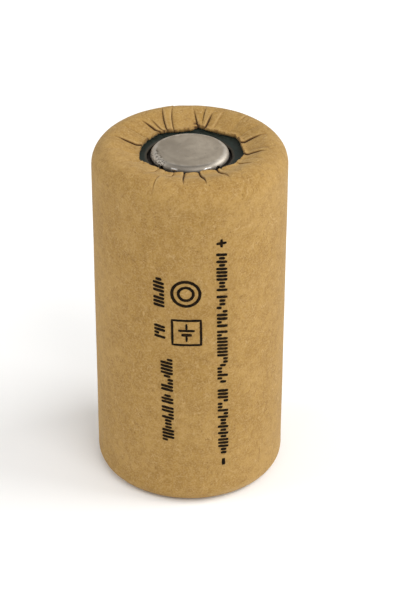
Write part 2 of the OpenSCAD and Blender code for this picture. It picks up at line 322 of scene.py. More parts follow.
def cap_nickel():
    """Satin nickel: painted shade on its left side and on the front of its shoulder, a painted
    highlight on the shoulder, two painted glints low on that front, chips on the shoulder's left
    side, and painted shade on the wall below.
    """
    s = Shader("cap_nickel", roughness=0.4, metallic=1.0)
    split = s.node("SeparateXYZ")
    s.put(s.mm, split.inputs["Vector"])
    x, y, z = split.outputs
    radius = s.math("SQRT", s.math("ADD", s.math("MULTIPLY", x, x), s.math("MULTIPLY", y, y)))
    cloud = s.noise(0.5, 4.0, 0.6, 0.5)
    peel = s.noise(3.2, 3.0, 0.6)
    colour = s.mix(s.fade(cloud, 0.32, 0.68), (0.54, 0.46, 0.36), (0.64, 0.56, 0.45))
    lines = s.noise(5.0, 3.0, 0.6, 0.0, s.stretch(s.mm, (1.6, 0.14, 1.6), (0, 0, 0.2)))
    darker = s.mix(1.0, colour, (0.72, 0.72, 0.72), "MULTIPLY")
    colour = s.mix(s.math("MULTIPLY", lines, 0.45), colour, darker)
    smudge = s.fade(s.noise(0.9, 4.0, 0.7, 0.8), 0.56, 0.72)
    colour = s.mix(s.math("MULTIPLY", smudge, 0.35), colour, (0.26, 0.22, 0.17))
    # Painted shade: the cap is darker towards its left side.
    colour = s.mix(s.fade(x, -3.8, 1.5, 0.28, 0.0), colour, (0.17, 0.15, 0.12))
    hair = s.scratches()
    colour = s.mix(s.math("MULTIPLY", hair, 0.3), colour, (0.78, 0.76, 0.73))
    wander = s.math("MULTIPLY", s.math("SUBTRACT", s.noise(1.6, 3.0), 0.5), 0.7)
    shoulder = s.fade(s.math("ADD", radius, wander), 3.72, 4.02)
    # Painted highlight: the shoulder band is lighter all round.
    colour = s.mix(s.math("MULTIPLY", shoulder, 0.5), colour, (0.70, 0.67, 0.62))
    left = s.fade(x, -3.2, -2.2, 1.0, 0.0)
    front = s.fade(y, -0.5, 0.6, 1.0, 0.0)
    flakes = s.fade(s.noise(2.6, 3.0, 0.6, 1.0), 0.50, 0.58)
    chips = s.product(left, front, s.fade(radius, 3.45, 3.8), flakes)
    colour = s.mix(s.math("MULTIPLY", chips, 0.8), colour, (0.07, 0.055, 0.045))
    # Painted shade on the wall below the shoulder, down between the cap and the washer.
    painted_wall_shade = s.fade(z, CAP_TOP - 0.75, CAP_TOP - 0.58, 1.0, 0.0)
    colour = s.mix(s.math("MULTIPLY", painted_wall_shade, 0.93), colour, (0.035, 0.026, 0.022))
    s.bump(peel, 0.35, 0.02)
    s.bump(lines, 0.2, 0.008)
    s.bump(chips, 0.6, -0.04)
    s.bump(hair, 0.3, -0.01)
    # Painted glints: two near-white patches, smoother than the rest, low on the front of the
    # shoulder.
    left_painted_glint = s.product(s.fade(x, -1.6, -1.3, 1.0, 0.0), s.fade(x, -2.2, -1.9))
    spots = s.product(s.math("MAXIMUM", left_painted_glint, s.fade(x, 1.5, 1.8)),
                      s.fade(x, 2.2, 2.5, 1.0, 0.0), s.fade(y, -3.6, -3.3, 1.0, 0.0),
                      s.fade(z, CAP_TOP - 0.32, CAP_TOP - 0.24, 1.0, 0.0))
    # Painted shade on the front of the shoulder, which holds down the highlight the lights put there.
    dull = s.math("MULTIPLY", s.fade(y, -3.9, -2.2, 0.85, 0.0), s.fade(radius, 3.75, 4.1))
    colour = s.mix(dull, colour, (0.20, 0.175, 0.145))
    colour = s.mix(spots, colour, (0.95, 0.93, 0.90))
    rough = s.math("ADD", s.fade(cloud, 0.3, 0.7, 0.40, 0.54), s.math("MULTIPLY", shoulder, 0.10))
    return s.finish(colour, s.math("ADD", rough, s.math("MULTIPLY", spots, -0.36)))


def moulded(name, low, high, roughness, grain=4.0, depth=0.01):
    """Plastic, rubber or bitumen: two close tones, uneven gloss and a fine skin."""
    s = Shader(name, roughness=roughness)
    tone = s.noise(grain * 0.2, 3.0, 0.5)
    skin = s.noise(grain, 3.0, 0.55)
    s.bump(skin, 0.4, depth)
    return s.finish(s.mix(s.fade(tone, 0.3, 0.7), low, high),
                    s.fade(skin, 0.3, 0.7, roughness * 0.85, roughness * 1.15))


def perforated_foil():
    s = Shader("perforated_foil", roughness=0.4, metallic=0.9)
    hole = s.fade(s.cells(0.9), 0.28, 0.36, 1.0, 0.0)
    dull = s.noise(1.5, 3.0, 0.6)
    colour = s.mix(s.fade(dull, 0.3, 0.7), (0.42, 0.42, 0.43), (0.56, 0.56, 0.55))
    colour = s.mix(s.math("MULTIPLY", hole, 0.8), colour, (0.03, 0.03, 0.03))
    s.bump(hole, 0.6, -0.05)
    return s.finish(colour, s.fade(dull, 0.3, 0.7, 0.32, 0.5))


def paste(name, low, high):
    """Pressed powder: clumps, fine grain and hairline cracks."""
    s = Shader(name, roughness=0.92, Specular_IOR_Level=0.2)
    clump = s.noise(1.2, 5.0, 0.7)
    crack = s.fade(s.cells(0.5, feature="DISTANCE_TO_EDGE"), 0.0, 0.03, 1.0, 0.0)
    colour = s.mix(s.fade(clump, 0.3, 0.7), low, high)
    colour = s.mix(s.math("MULTIPLY", crack, 0.6), colour, (0.01, 0.01, 0.01))
    s.bump(clump, 0.7, 0.04)
    s.bump(crack, 0.5, -0.03)
    return s.finish(colour, s.fade(clump, 0.3, 0.7, 0.86, 0.97))


def felt():
    s = Shader("separator_felt", roughness=0.95, Sheen_Weight=0.25)
    web = s.threads((1.6, 0.05, (0.3, 0.9, 0.1)), (2.1, 0.05, (1.2, 0.2, 1.7)))
    tone = s.noise(2.4, 4.0, 0.6)
    colour = s.mix(s.fade(tone, 0.3, 0.7), (0.62, 0.60, 0.53), (0.76, 0.74, 0.67))
    colour = s.mix(s.math("MULTIPLY", web, 0.5), colour, (0.84, 0.83, 0.78))
    s.bump(s.math("ADD", web, tone), 0.6, 0.03)
    return s.finish(colour, s.fade(tone, 0.3, 0.7, 0.88, 0.98))


NODE_MATERIALS = {
    "vent_plate": metal("vent_nickel", (0.48, 0.46, 0.43), (0.58, 0.56, 0.52), 0.32),
    "cover_plate": metal("cover_steel", (0.50, 0.49, 0.47), (0.60, 0.59, 0.57), 0.3),
    "cell_can": metal("can_steel", (0.50, 0.49, 0.47), (0.62, 0.61, 0.59), 0.3,
                      stain=(0.34, 0.31, 0.27)),
    "positive_lead": metal("lead_nickel", (0.52, 0.50, 0.47), (0.62, 0.60, 0.56), 0.35),
    "positive_collector": metal("collector_steel", (0.44, 0.44, 0.44), (0.55, 0.55, 0.54), 0.38),
    "vent_seal": moulded("seal_rubber", (0.016, 0.017, 0.019), (0.030, 0.031, 0.034), 0.62),
    "sealing_gasket": moulded("nylon", (0.70, 0.68, 0.60), (0.80, 0.78, 0.71), 0.38),
    "sealant_film": moulded("bitumen", (0.010, 0.009, 0.008), (0.022, 0.018, 0.015), 0.22,
                            grain=2.0, depth=0.02),
    "upper_insulator": moulded("insulator_card", (0.60, 0.57, 0.49), (0.70, 0.68, 0.60), 0.8,
                               grain=6.0, depth=0.02),
    "positive_foil": perforated_foil(),
    "positive_layers": paste("positive_paste", (0.020, 0.024, 0.021), (0.045, 0.052, 0.046)),
    "negative_layers": paste("negative_paste", (0.11, 0.115, 0.12), (0.19, 0.195, 0.20)),
    "separator_inner": felt(),
}
NODE_MATERIALS["negative_collector"] = NODE_MATERIALS["positive_collector"]
NODE_MATERIALS["negative_foil"] = NODE_MATERIALS["positive_foil"]
NODE_MATERIALS["separator_outer"] = NODE_MATERIALS["separator_inner"]
KRAFT = kraft_paper()
INK = print_ink()
FISH_PAPER = fish_paper()
CAP_NICKEL = cap_nickel()


# ---------------------------------------------------------------- the sleeve's outline
def oval(centre, wide, tall, start, end, count):
    """count points on an oval arc, from start to end degrees."""
    turn = np.radians(np.linspace(start, end, count))
    return np.stack([centre[0] + wide * np.cos(turn), centre[1] + tall * np.sin(turn)], 1)


def sleeve_outline():
    """Radius and height of the outer face, from the upper hole over the crest to the lower hole.

    Returns the points and the indices at which the wall and the base begin.
    """
    slope = math.degrees(DISH_ANGLE)
    crest = np.array([CREST_R, CELL_H - CREST_ROUND])
    out = np.array([-math.sin(DISH_ANGLE), math.cos(DISH_ANGLE)])
    down = np.array([-math.cos(DISH_ANGLE), -math.sin(DISH_ANGLE)])
    dish = crest + (CREST_ROUND + DISH_FILLET) * out + DISH_RUN * down
    flat_z = dish[1] - DISH_FILLET
    flat = np.stack([np.linspace(TOP_HOLE_R, dish[0], 9)[:-1], np.full(8, flat_z)], 1)
    fillet = oval(dish, DISH_FILLET, DISH_FILLET, -90, slope - 90, 5)
    inner_crest = oval(crest, CREST_ROUND, CREST_ROUND, 90 + slope, 90, 10)
    run = np.linspace(fillet[-1], inner_crest[0], 10)[1:-1]
    outer_crest = oval(crest, CELL_R - CREST_R, CREST_ROUND, 90, 0, 31)[1:]
    top = np.concatenate([flat, fillet, run, inner_crest, outer_crest])
    wall = np.linspace(top[-1], (CELL_R, BASE_ROUND), 50)[1:]
    corner = oval((CELL_R - BASE_ROUND, BASE_ROUND), BASE_ROUND, BASE_ROUND, 0, -90, 13)[1:]
    base = np.linspace(corner[-1], (BASE_HOLE_R, 0), 22)[1:]
    points = np.concatenate([top, wall, corner, base])
    return points, len(top), len(top) + len(wall)


def outline_normals(points):
    ahead = np.gradient(points, axis=0)
    ahead /= np.linalg.norm(ahead, axis=1, keepdims=True)
    return np.stack([-ahead[:, 1], ahead[:, 0]], 1)


OUTLINE, WALL_ROW, CORNER_ROW = sleeve_outline()
NORMALS = outline_normals(OUTLINE)


def wall_relief(points):
    """How far the paper stands off its outline, in millimetres: soft dents and waviness."""
    return 0.030 * noise_at(points, 7.0, 1) + 0.012 * noise_at(points, 2.8, 2)


# Pleats of the upper fold, anticlockwise from above, with 270 degrees at the front:
# angle where it meets the hole, angle at its outer end, outer end's radius, inner end's radius,
# groove depth, height of the flap beside it, and the side the flap is on.
TOP_PLEATS = [
    (19, 14.5, 9.4, 5.9, 0.24, 0.15, 1),
    (29.5, 28.5, 8.7, 5.9, 0.28, 0.17, -1),
    (45, 47, 10.3, 8.6, 0.10, 0.04, 1),
    (64, 63, 9.6, 6.6, 0.05, 0.05, 1),
    (73.5, 71, 8.9, 5.9, 0.24, 0.17, 1),
    (77.5, 78, 9.6, 7.2, 0.14, 0.06, -1),
    (81, 87.5, 8.8, 5.9, 0.26, 0.10, -1),
    (110, 101, 10.2, 5.9, 0.16, 0.07, 1),
    (117, 109, 10.0, 5.9, 0.20, 0.10, -1),
    (121.5, 126, 8.4, 5.9, 0.16, 0.12, -1),
    (126, 134, 8.6, 5.9, 0.26, 0.14, -1),
    (148, 151, 8.9, 6.0, 0.18, 0.10, 1),
    (166.5, 168.5, 9.2, 5.9, 0.26, 0.14, -1),
    (189, 187, 8.0, 5.9, 0.07, 0.05, 1),
    (205, 213, 9.3, 6.0, 0.12, 0.06, 1),
    (232, 234, 8.2, 5.9, 0.06, 0.06, -1),
    (246, 247.5, 11.3, 8.7, 0.11, 0.04, 1),
    (252, 251.5, 8.9, 6.2, 0.14, 0.07, -1),
    (263, 266, 10.3, 5.9, 0.24, 0.12, -1),
    (281.5, 281, 10.4, 5.9, 0.26, 0.14, 1),
    (303, 297.5, 9.8, 5.9, 0.18, 0.08, 1),
    (307.5, 308.5, 8.8, 5.9, 0.26, 0.12, -1),
    (331, 327.5, 8.6, 6.3, 0.12, 0.06, 1),
    (339, 335.5, 9.2, 6.2, 0.15, 0.08, -1),
    (353, 348, 9.4, 5.9, 0.26, 0.14, 1),
]


# Corners of the upper hole's edge: angle and radius. The paper runs straight from one to the next.
TOP_EDGE = [
    (9, 6.05), (24, 6.3), (35, 6.5), (75, 6.0), (81, 6.35), (87, 5.6), (98, 5.3), (117, 5.7),
    (129, 5.9), (150, 5.7), (165, 5.75), (186, 5.85), (202, 6.2), (220, 5.75), (249, 5.85),
    (256, 5.65), (264, 5.45), (281, 5.4), (298, 5.5), (305, 5.75), (312, 5.5), (325, 6.05),
    (340, 6.05), (354, 6.3),
]


EDGE_REACH = 1.7  # how far in from the hole the torn edge moves the paper
FRAYED_ROWS = 5


def base_pleats():
    """Pleats of the lower fold: the same places round the tube, but made up."""
    draw = random.Random(11)
    pleats = []
    for outer in (pleat[1] for pleat in TOP_PLEATS):
        depth = draw.choice((0.12, 0.18, 0.24, 0.29))
        pleats.append((outer + draw.uniform(-1.3, 1.3), outer, draw.uniform(8.2, 9.9),
                       BASE_HOLE_R, depth, depth * 0.45, draw.choice((-1, 1))))
    return pleats


BASE_PLEATS = base_pleats()
SEAM = next(i for i, pleat in enumerate(TOP_PLEATS) if pleat[1] == 101)  # the tube's glued lap
SEAM_STEP = 0.07


def pleat_angle(pleat, radius):
    """Angle of a pleat's line at a radius, in degrees."""
    inner, outer, end_r, start_r = pleat[:4]
    along = np.clip((radius - start_r) / (end_r - start_r), 0, 1)
    return inner + (outer - inner) * along


def pleat_strength(pleat, radius):
    """How deep a pleat is at a radius, from 0 at its outer end to 1 near the hole."""
    end_r, start_r = pleat[2:4]
    fade = smooth((end_r - radius) / (0.62 * (end_r - start_r)))
    if start_r > TOP_HOLE_R + 0.05:
        fade = fade * smooth((radius - start_r + 0.5) / 0.6)
    return fade


# ---------------------------------------------------------------- the sleeve
def sector_columns(pleats):
    """For each column of the mesh: its sector, and how far across the sector it is."""
    columns = []
    crowd = 0.8
    for i, pleat in enumerate(pleats):
        span = (pleats[(i + 1) % len(pleats)][0] - pleat[0]) % 360
        count = max(9, round(span * 1.3 + 5))
        for k in range(count):
            t = k / count
            columns.append((i, t - crowd * math.sin(2 * math.pi * t) / (2 * math.pi)))
    return columns


COLUMNS = sector_columns(TOP_PLEATS)


def sector_angles(pleats, radius):
    """Angle of every column at one radius, and the distances to the pleats on its two sides."""
    lines = [pleat_angle(p, radius) for p in pleats]
    angles, before, after = [], [], []
    for sector, t in COLUMNS:
        start = lines[sector]
        span = (lines[(sector + 1) % len(lines)] - start) % 360
        angles.append(start + span * t)
        before.append(math.radians(span * t) * radius)
        after.append(math.radians(span * (1 - t)) * radius)
    return np.array(angles), np.array(before), np.array(after)


def fold_relief(pleats, radius, before, after, puff):
    """Height of the folded paper at one radius, the painted shade along its creases and the painted
    highlight beside them.
    """
    height = np.zeros(len(COLUMNS))
    shade_and_marks = np.zeros(len(COLUMNS))
    painted_highlight = np.zeros(len(COLUMNS))
    for j, (sector, t) in enumerate(COLUMNS):
        for pleat, gap, side in ((pleats[sector], before[j], 1),
                                 (pleats[(sector + 1) % len(pleats)], after[j], -1)):
            strength = pleat_strength(pleat, radius)
            if strength <= 0:
                continue
            depth, flap = pleat[4] * strength, pleat[5] * strength
            dark = min(depth / 0.25, 1)
            if side == pleat[6]:
                height[j] += flap * math.exp(-gap / 0.75) - 1.2 * depth * math.exp(-gap / 0.05)
                # Painted highlight on the flap just beside the fold.
                painted_highlight[j] += strength * math.exp(-(((gap - 0.16) / 0.12) ** 2))
                # Painted shade along the fold line.
                shade_and_marks[j] += dark * math.exp(-((gap / 0.045) ** 2))
            else:
                # The groove beside the fold, with painted shade along it.
                valley = 0.72 * math.exp(-gap / 0.10) + 0.28 * math.exp(-gap / 0.5)
                line = 0.80 * math.exp(-((gap / 0.085) ** 2)) + 0.16 * math.exp(-gap / 0.45)
                height[j] -= 1.2 * depth * valley
                shade_and_marks[j] += dark * line
        width = before[j] + after[j]
        height[j] += puff * min(width / 2.0, 1) * math.sin(math.pi * t) ** 0.8
    return height, shade_and_marks, painted_highlight


def tuck(angles, radius):
    """The crumpled, torn tuck at the back of the upper hole: its relief and the painted shade in it.
    """
    share = smooth(1.4 - np.abs(angles - 82.5) / 4.5) * smooth((7.1 - radius) / 0.7)
    place = turned(np.full(len(angles), radius), angles, 0)
    rough = noise_at(place, 0.42, 6)
    # The second value is painted shade in the tuck.
    return share * (0.22 * rough - 0.06), share * smooth(0.5 - 1.6 * rough)


def wrinkles(angles, radius, amount):
    """Fine wrinkles that run in towards the hole: their relief and the faint painted shade along
    them.
    """
    turn = np.radians(angles)
    drawn_out = np.stack([6 * np.cos(turn), 6 * np.sin(turn), np.full(len(turn), radius * 0.45)], 1)
    ridge = 1 - 3.2 * np.abs(noise_at(drawn_out, 1.1, 12))
    crumple = noise_at(turned(np.full(len(turn), radius), angles, 0), 1.3, 13)
    patchy = smooth(0.5 + 2.2 * noise_at(drawn_out, 2.6, 15))
    line = smooth(3.5 * (ridge - 0.78)) * patchy
    # The second value is painted shade along the wrinkles' grooves.
    return amount * (0.035 * crumple - 0.055 * line), amount * 0.42 * line


def seam(before, after):
    """The lap of the glued tube: a step along the whole sleeve, and its thin dark line."""
    over = np.array([sector == SEAM for sector, _ in COLUMNS])
    under = np.array([(sector + 1) % len(TOP_PLEATS) == SEAM for sector, _ in COLUMNS])
    rise = np.where(over, SEAM_STEP * np.exp(-before / 2.2), 0)
    dip = np.where(under, 0.02 * np.exp(-after / 0.2), 0)
    line = (np.where(over, np.exp(-((before / 0.04) ** 2)), 0)
            + np.where(under, np.exp(-((after / 0.1) ** 2)), 0))
    return rise - dip, 0.32 * line


def hole_edge(angles):
    """Radius of the upper hole at each angle: straight runs between corners, a little torn."""
    turn = np.radians(np.mod(angles, 360))
    radius = np.zeros(len(turn))
    for (start, near), (end, far) in zip(TOP_EDGE, TOP_EDGE[1:] + TOP_EDGE[:1]):
        a, b = math.radians(start), math.radians(end)
        span = (b - a) % (2 * math.pi)
        past = np.mod(turn - a, 2 * math.pi)
        chord = near * far * math.sin(span) / (near * np.sin(past) + far * np.sin(span - past))
        radius = np.where(past < span, chord, radius)
    places = np.stack([6 * np.cos(turn), 6 * np.sin(turn), 0 * turn], 1)
    torn = 0.6 + 0.9 * smooth((np.sin(turn - 0.6) + 0.4) / 0.8)  # most at the back and the left
    return radius + torn * (0.07 * noise_at(places, 0.42, 3) + 0.045 * noise_at(places, 0.14, 4))


def turned(radius, angles, z):
    """Points at a radius, angle in degrees and height."""
    turn = np.radians(angles)
    heights = np.broadcast_to(z, turn.shape)
    return np.stack([radius * np.cos(turn), radius * np.sin(turn), heights], -1)


def sleeve_rows():
    """Outer and inner points of the sleeve, row by row, with the dark values (painted shade, seam
    line and frayed edge) and the painted highlight values.
    """
    wall_angles, wall_before, wall_after = sector_angles(TOP_PLEATS, CELL_R)
    outer, inner, shade_and_marks_rows, painted_highlights = [], [], [], []
    for k, ((r, z), (nr, nz)) in enumerate(zip(OUTLINE, NORMALS)):
        up_wall = np.clip((z - BASE_ROUND) / (CELL_H - CREST_ROUND - BASE_ROUND), 0, 1)
        sway = math.sin(math.pi * up_wall)  # the lap wanders most half way up
        angles = wall_angles + sway * noise_at(np.array([0, 0, z]), 6.0, 14)
        before, after = wall_before, wall_after
        lift, shade_and_marks = seam(before, after)
        painted_highlight = 0 * shade_and_marks
        if k < WALL_ROW:
            angles, before, after = sector_angles(TOP_PLEATS, r)
            puff = 0.11 * smooth((10.4 - r) / 2.2)
            on_top = smooth((r - 9) / 1.5)
            folded, dark, painted_highlight = fold_relief(TOP_PLEATS, r, before, after, puff)
            # torn here is the tuck's painted shade.
            crumpled, torn = tuck(angles, r)
            fine, wrinkle_shade = wrinkles(angles, r, smooth((11.0 - r) / 1.6))
            lift = lift * on_top + folded + crumpled + fine
            # dark, torn and the wrinkles' value are painted shade in the creases, the tuck and the
            # wrinkles.
            shade_and_marks = shade_and_marks * on_top + dark + torn + wrinkle_shade
        elif k >= CORNER_ROW:
            angles, before, after = sector_angles(BASE_PLEATS, r)
            puff = 0.05 * smooth((9.6 - r) / 2)
            on_base = smooth((r - 9) / 1.5)
            folded, dark, painted_highlight = fold_relief(BASE_PLEATS, r, before, after, puff)
            lift = lift * on_base + folded - 0.14 * smooth((10 - r) / 2)
            # dark is painted shade along the lower fold's creases.
            shade_and_marks = shade_and_marks * on_base + dark
        # Painted highlight along the lower corner at the front right, where the rounded corner
        # catches the light.
        if z < 3 and k < CORNER_ROW + 8:
            near = smooth(1.6 - np.abs(np.mod(angles, 360) - 304) / 14)
            painted_highlight = painted_highlight + 1.1 * near * math.exp(-(((z - 1.0) / 0.42) ** 2))
        radius = np.full(len(COLUMNS), r)
        curl = np.zeros(len(COLUMNS))
        if k < WALL_ROW:
            inward = (r - TOP_HOLE_R) / EDGE_REACH
            radius = r + (hole_edge(angles) - TOP_HOLE_R) * (1 - smooth(inward))
            lip = 0.07 + 0.09 * noise_at(turned(6.0, angles, 0), 1.7, 5)
            curl = np.clip(1 - 2 * inward, 0, 1) ** 2 * lip
        if k < FRAYED_ROWS:
            fray = noise_at(turned(radius, angles, 0), 0.3, 7)
            shade_and_marks = shade_and_marks + 0.55 * (1 - k / FRAYED_ROWS) ** 2 * smooth(0.45 + fray)
        place = turned(radius, angles, z)
        relief = np.maximum(lift + wall_relief(place) * smooth(k / 6), 0.05 - PAPER)
        out = np.stack([np.cos(np.radians(angles)) * nr, np.sin(np.radians(angles)) * nr,
                        np.full(len(COLUMNS), nz)], 1)
        shift = np.stack([0 * curl, 0 * curl, np.maximum(curl, 0)], 1)
        point = place + shift + out * relief[:, None]
        point[:, 2] = np.maximum(point[:, 2], 0)
        outer.append(point)
        inner.append(place + shift - out * (PAPER - 0.01))
        shade_and_marks_rows.append(shade_and_marks)
        painted_highlights.append(painted_highlight)
    return outer, inner, shade_and_marks_rows, painted_highlights


def build_sleeve():
    outer, inner, shade_and_marks_rows, painted_highlights = sleeve_rows()
    rows, columns = len(outer), len(COLUMNS)
    kept = sorted({0, *range(4, WALL_ROW, 5), WALL_ROW - 1, CORNER_ROW, CORNER_ROW + 4,
                   CORNER_ROW + 8, CORNER_ROW + 12, rows - 1})
    points = np.concatenate(outer + [inner[k] for k in reversed(kept)])
    faces = grid_faces(rows + len(kept), columns)
    last = rows + len(kept) - 1
    faces += [(last * columns + j, last * columns + (j + 1) % columns, (j + 1) % columns, j)
              for j in range(columns)]
    sleeve = make_object("sleeve_folded", points, faces)
    plain = np.zeros(len(kept) * columns)
    edge_shade = np.concatenate([np.full(columns, 0.35 if k in (0, rows - 1) else 0.0)
                                 for k in reversed(kept)])
    add_attribute(sleeve, "shade_and_marks", np.clip(np.concatenate(shade_and_marks_rows + [edge_shade]), 0, 1))
    add_attribute(sleeve, "painted_highlight", np.clip(np.concatenate(painted_highlights + [plain]), 0, 1))
    sleeve.data.materials.append(KRAFT)
    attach(sleeve, "cell")
    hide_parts("paper_sleeve")
    return sleeve


build_sleeve()


# ---------------------------------------------------------------- the printed marks
PRINT_LIFT = 0.012  # the ink's underside above the paper
INK_DEPTH = 0.018
PRINT_SKEW = 0.0165  # the print leans to the right as it runs down
MARK_SIZE = 1.3  # length of a full tick, round the wall
STROKE = 0.27


def on_wall(across, z, lift):
    """A point of the wall: across is the distance round it from the front, in millimetres."""
    turn = -math.pi / 2 + across / CELL_R
    base = np.array([CELL_R * math.cos(turn), CELL_R * math.sin(turn), z])
    out = np.array([math.cos(turn), math.sin(turn), 0])
    return base + out * (wall_relief(base[None, :])[0] + lift)


class Print:
    """Strokes of ink on the wall, joined into one mesh."""

    def __init__(self, name, seed):
        self.name = name
        self.draw = random.Random(seed)
        self.points, self.faces = [], []

    def stroke(self, path, width=STROKE, closed=False):
        """Ink along a path of (across, z) points, with slightly uneven sides."""
        path = np.array(path, float)
        fine = [path[0]]
        ring = list(path[1:]) + ([path[0]] if closed else [])
        for point in ring:
            steps = max(1, math.ceil(np.linalg.norm(point - fine[-1]) / 0.22))
            start = fine[-1]
            fine += [start + (point - start) * (i + 1) / steps for i in range(steps)]
        fine = np.array(fine[:-1] if closed else fine)
        if closed:
            ahead = np.roll(fine, -1, 0) - np.roll(fine, 1, 0)
        else:
            ahead = np.gradient(fine, axis=0)
        ahead /= np.linalg.norm(ahead, axis=1, keepdims=True)
        side = np.stack([-ahead[:, 1], ahead[:, 0]], 1)
        count = len(fine)
        first = len(self.points)
        for i in range(count):
            half = width / 2
            centre = fine[i]
            if not closed and i in (0, count - 1):
                half *= 0.72
            for share in (-1, 0, 1):
                wobble = self.draw.uniform(-0.018, 0.018) if share else 0
                spot = centre + side[i] * (share * half + wobble)
                across = spot[0] - PRINT_SKEW * (spot[1] - CELL_H * 0.7)
                for lift in (PRINT_LIFT, PRINT_LIFT + INK_DEPTH):
                    self.points.append(on_wall(across, spot[1], lift))
        for i in range(count if closed else count - 1):
            a, b = first + 6 * i, first + 6 * ((i + 1) % count)
            for low in (0, 2):
                self.faces.append((a + low + 1, b + low + 1, b + low + 3, a + low + 3))
                self.faces.append((a + low, a + low + 2, b + low + 2, b + low))
            self.faces.append((a, b, b + 1, a + 1))
            self.faces.append((a + 4, a + 5, b + 5, b + 4))
        if not closed:
            for a in (first, first + 6 * (count - 1)):
                for low in (0, 2):
                    self.faces.append((a + low, a + low + 1, a + low + 3, a + low + 2))

    def circle(self, across, z, radius, width=STROKE):
        turns = np.radians(np.arange(0, 360, 8))
        self.stroke([(across + radius * math.cos(t), z + radius * math.sin(t)) for t in turns],
                    width, closed=True)

    def ticks(self, across, top, bottom, size=MARK_SIZE):
        """A row of plain ticks of mixed lengths that runs down the wall, in place of words."""
        count = round((top - bottom) / 0.47)
        step = (top - bottom) / count
        low = across - size / 2
        reaches = ((0, 1), (0, 1), (0, 1), (0, 0.45), (0.55, 1), (0.25, 0.8))
        for i in range(count):
            z = top - (i + 0.5) * step
            start, end = self.draw.choice(reaches)
            a, b = low + size * start, low + size * end
            lean = 0.16
            self.stroke([(a, z - lean * (a - across)), (b, z - lean * (b - across))], step * 0.74)

    def build(self):
        obj = make_object(self.name, self.points, self.faces)
        obj.data.materials.append(INK)
        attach(obj, "cell")
        return obj


LINE_ACROSS = 3.69
LINE_WORDS = ((34.8, 29.7), (29.25, 24.85), (24.5, 17.15), (16.35, 6.95))
SYMBOL_ACROSS = -0.47
NOTE_ACROSS = -3.6


def build_print():
    line = Print("print_long_row", 21)
    plus = 36.05
    line.stroke([(LINE_ACROSS - 0.6, plus), (LINE_ACROSS + 0.6, plus)], 0.32)
    line.stroke([(LINE_ACROSS, plus + 0.52), (LINE_ACROSS, plus - 0.52)], 0.32)
    for top, bottom in LINE_WORDS:
        line.ticks(LINE_ACROSS, top, bottom)
    line.stroke([(LINE_ACROSS, 6.3), (LINE_ACROSS, 5.35)], 0.42)
    line.build()

    ring = Print("print_ring_symbol", 22)
    ring.circle(SYMBOL_ACROSS, 29.7, 1.6, 0.36)
    ring.circle(SYMBOL_ACROSS, 29.7, 0.85, 0.34)
    ring.build()

    cell = Print("print_cell_symbol", 23)
    middle, half = 24.5, 1.65
    corners = [(-half, -half), (half, -half), (half, half), (-half, half)]
    cell.stroke([(SYMBOL_ACROSS + x, middle + y) for x, y in corners], 0.28, closed=True)
    cell.stroke([(SYMBOL_ACROSS - 0.95, middle + 0.28), (SYMBOL_ACROSS + 0.95, middle + 0.28)], 0.3)
    cell.stroke([(SYMBOL_ACROSS - 0.6, middle - 0.3), (SYMBOL_ACROSS + 0.6, middle - 0.3)], 0.38)
    for end in (1, -1):
        lead = [(SYMBOL_ACROSS, middle + 0.45 * end), (SYMBOL_ACROSS, middle + 1.2 * end)]
        cell.stroke(lead, 0.24)
    cell.build()

    notes = Print("print_short_rows", 24)
    notes.ticks(NOTE_ACROSS, 31.65, 27.7)
    notes.ticks(NOTE_ACROSS, 25.35, 23.5)
    for top, bottom in ((20.9, 16.25), (15.85, 14.5), (14.15, 9.05)):
        notes.ticks(NOTE_ACROSS + 0.71, top, bottom, MARK_SIZE * 1.1)
    notes.build()


build_print()


# ---------------------------------------------------------------- the washer
def build_washer():
    """Fibre washer under the fold, with a slightly wavy face and a frayed inner edge."""
    high = box_mm("insulating_washer")[1]
    count = 240
    angles = np.arange(count) * 360 / count
    thick = 0.3
    span = np.linspace(0, 1, 14)
    flat_z = OUTLINE[0][1] - PAPER - GAP
    ridge_r = high.x
    rows, frayed = [], []
    crest_top = high.z
    inner_r = 4.9 + 0.3 * np.cos(np.radians(angles - 262))  # the washer lies off centre
    for t in span:
        r = inner_r + (ridge_r - inner_r) * t
        rise = smooth((r - 6.7) / (CREST_R - 6.7)) * (crest_top - flat_z)
        places = turned(r, angles, flat_z + rise)
        sag = -0.05 * smooth(1 - t * 3) * (1 + noise_at(places, 2.2, 8))
        places[:, 2] += sag
        if t == 0:
            reach = 0.05 * noise_at(places, 0.5, 9) + 0.03 * noise_at(places, 0.17, 10)
            places[:, :2] *= 1 + (reach / r)[:, None]
        rows.append(places)
        frayed.append(np.full(count, 1.0 if t == 0 else 0.0))
    under = [p - np.array([0, 0, thick]) for p in reversed(rows)]
    points = np.concatenate(rows + under)
    total = 2 * len(rows)
    faces = grid_faces(total, count)
    last = (total - 1) * count
    faces += [(last + j, last + (j + 1) % count, (j + 1) % count, j) for j in range(count)]
    washer = make_object("washer_fibre", points, faces)
    add_attribute(washer, "frayed", np.concatenate(frayed + [f * 0.8 for f in reversed(frayed)]))
    washer.data.materials.append(FISH_PAPER)
    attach(washer, "cell")
    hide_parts("insulating_washer")


build_washer()


# ---------------------------------------------------------------- the cap
CAP_WALL_R = 4.5
CAP_SHEET = 0.3
CAP_SHOULDER = 0.65  # outside radius of the bend round the face
CAP_FOOT = 0.2  # outside radius of the bend into the flange
GAS_HOLES = 4
GAS_HOLE_R = 0.32
FACE_ROWS = 25
SHOULDER_ROWS = 14


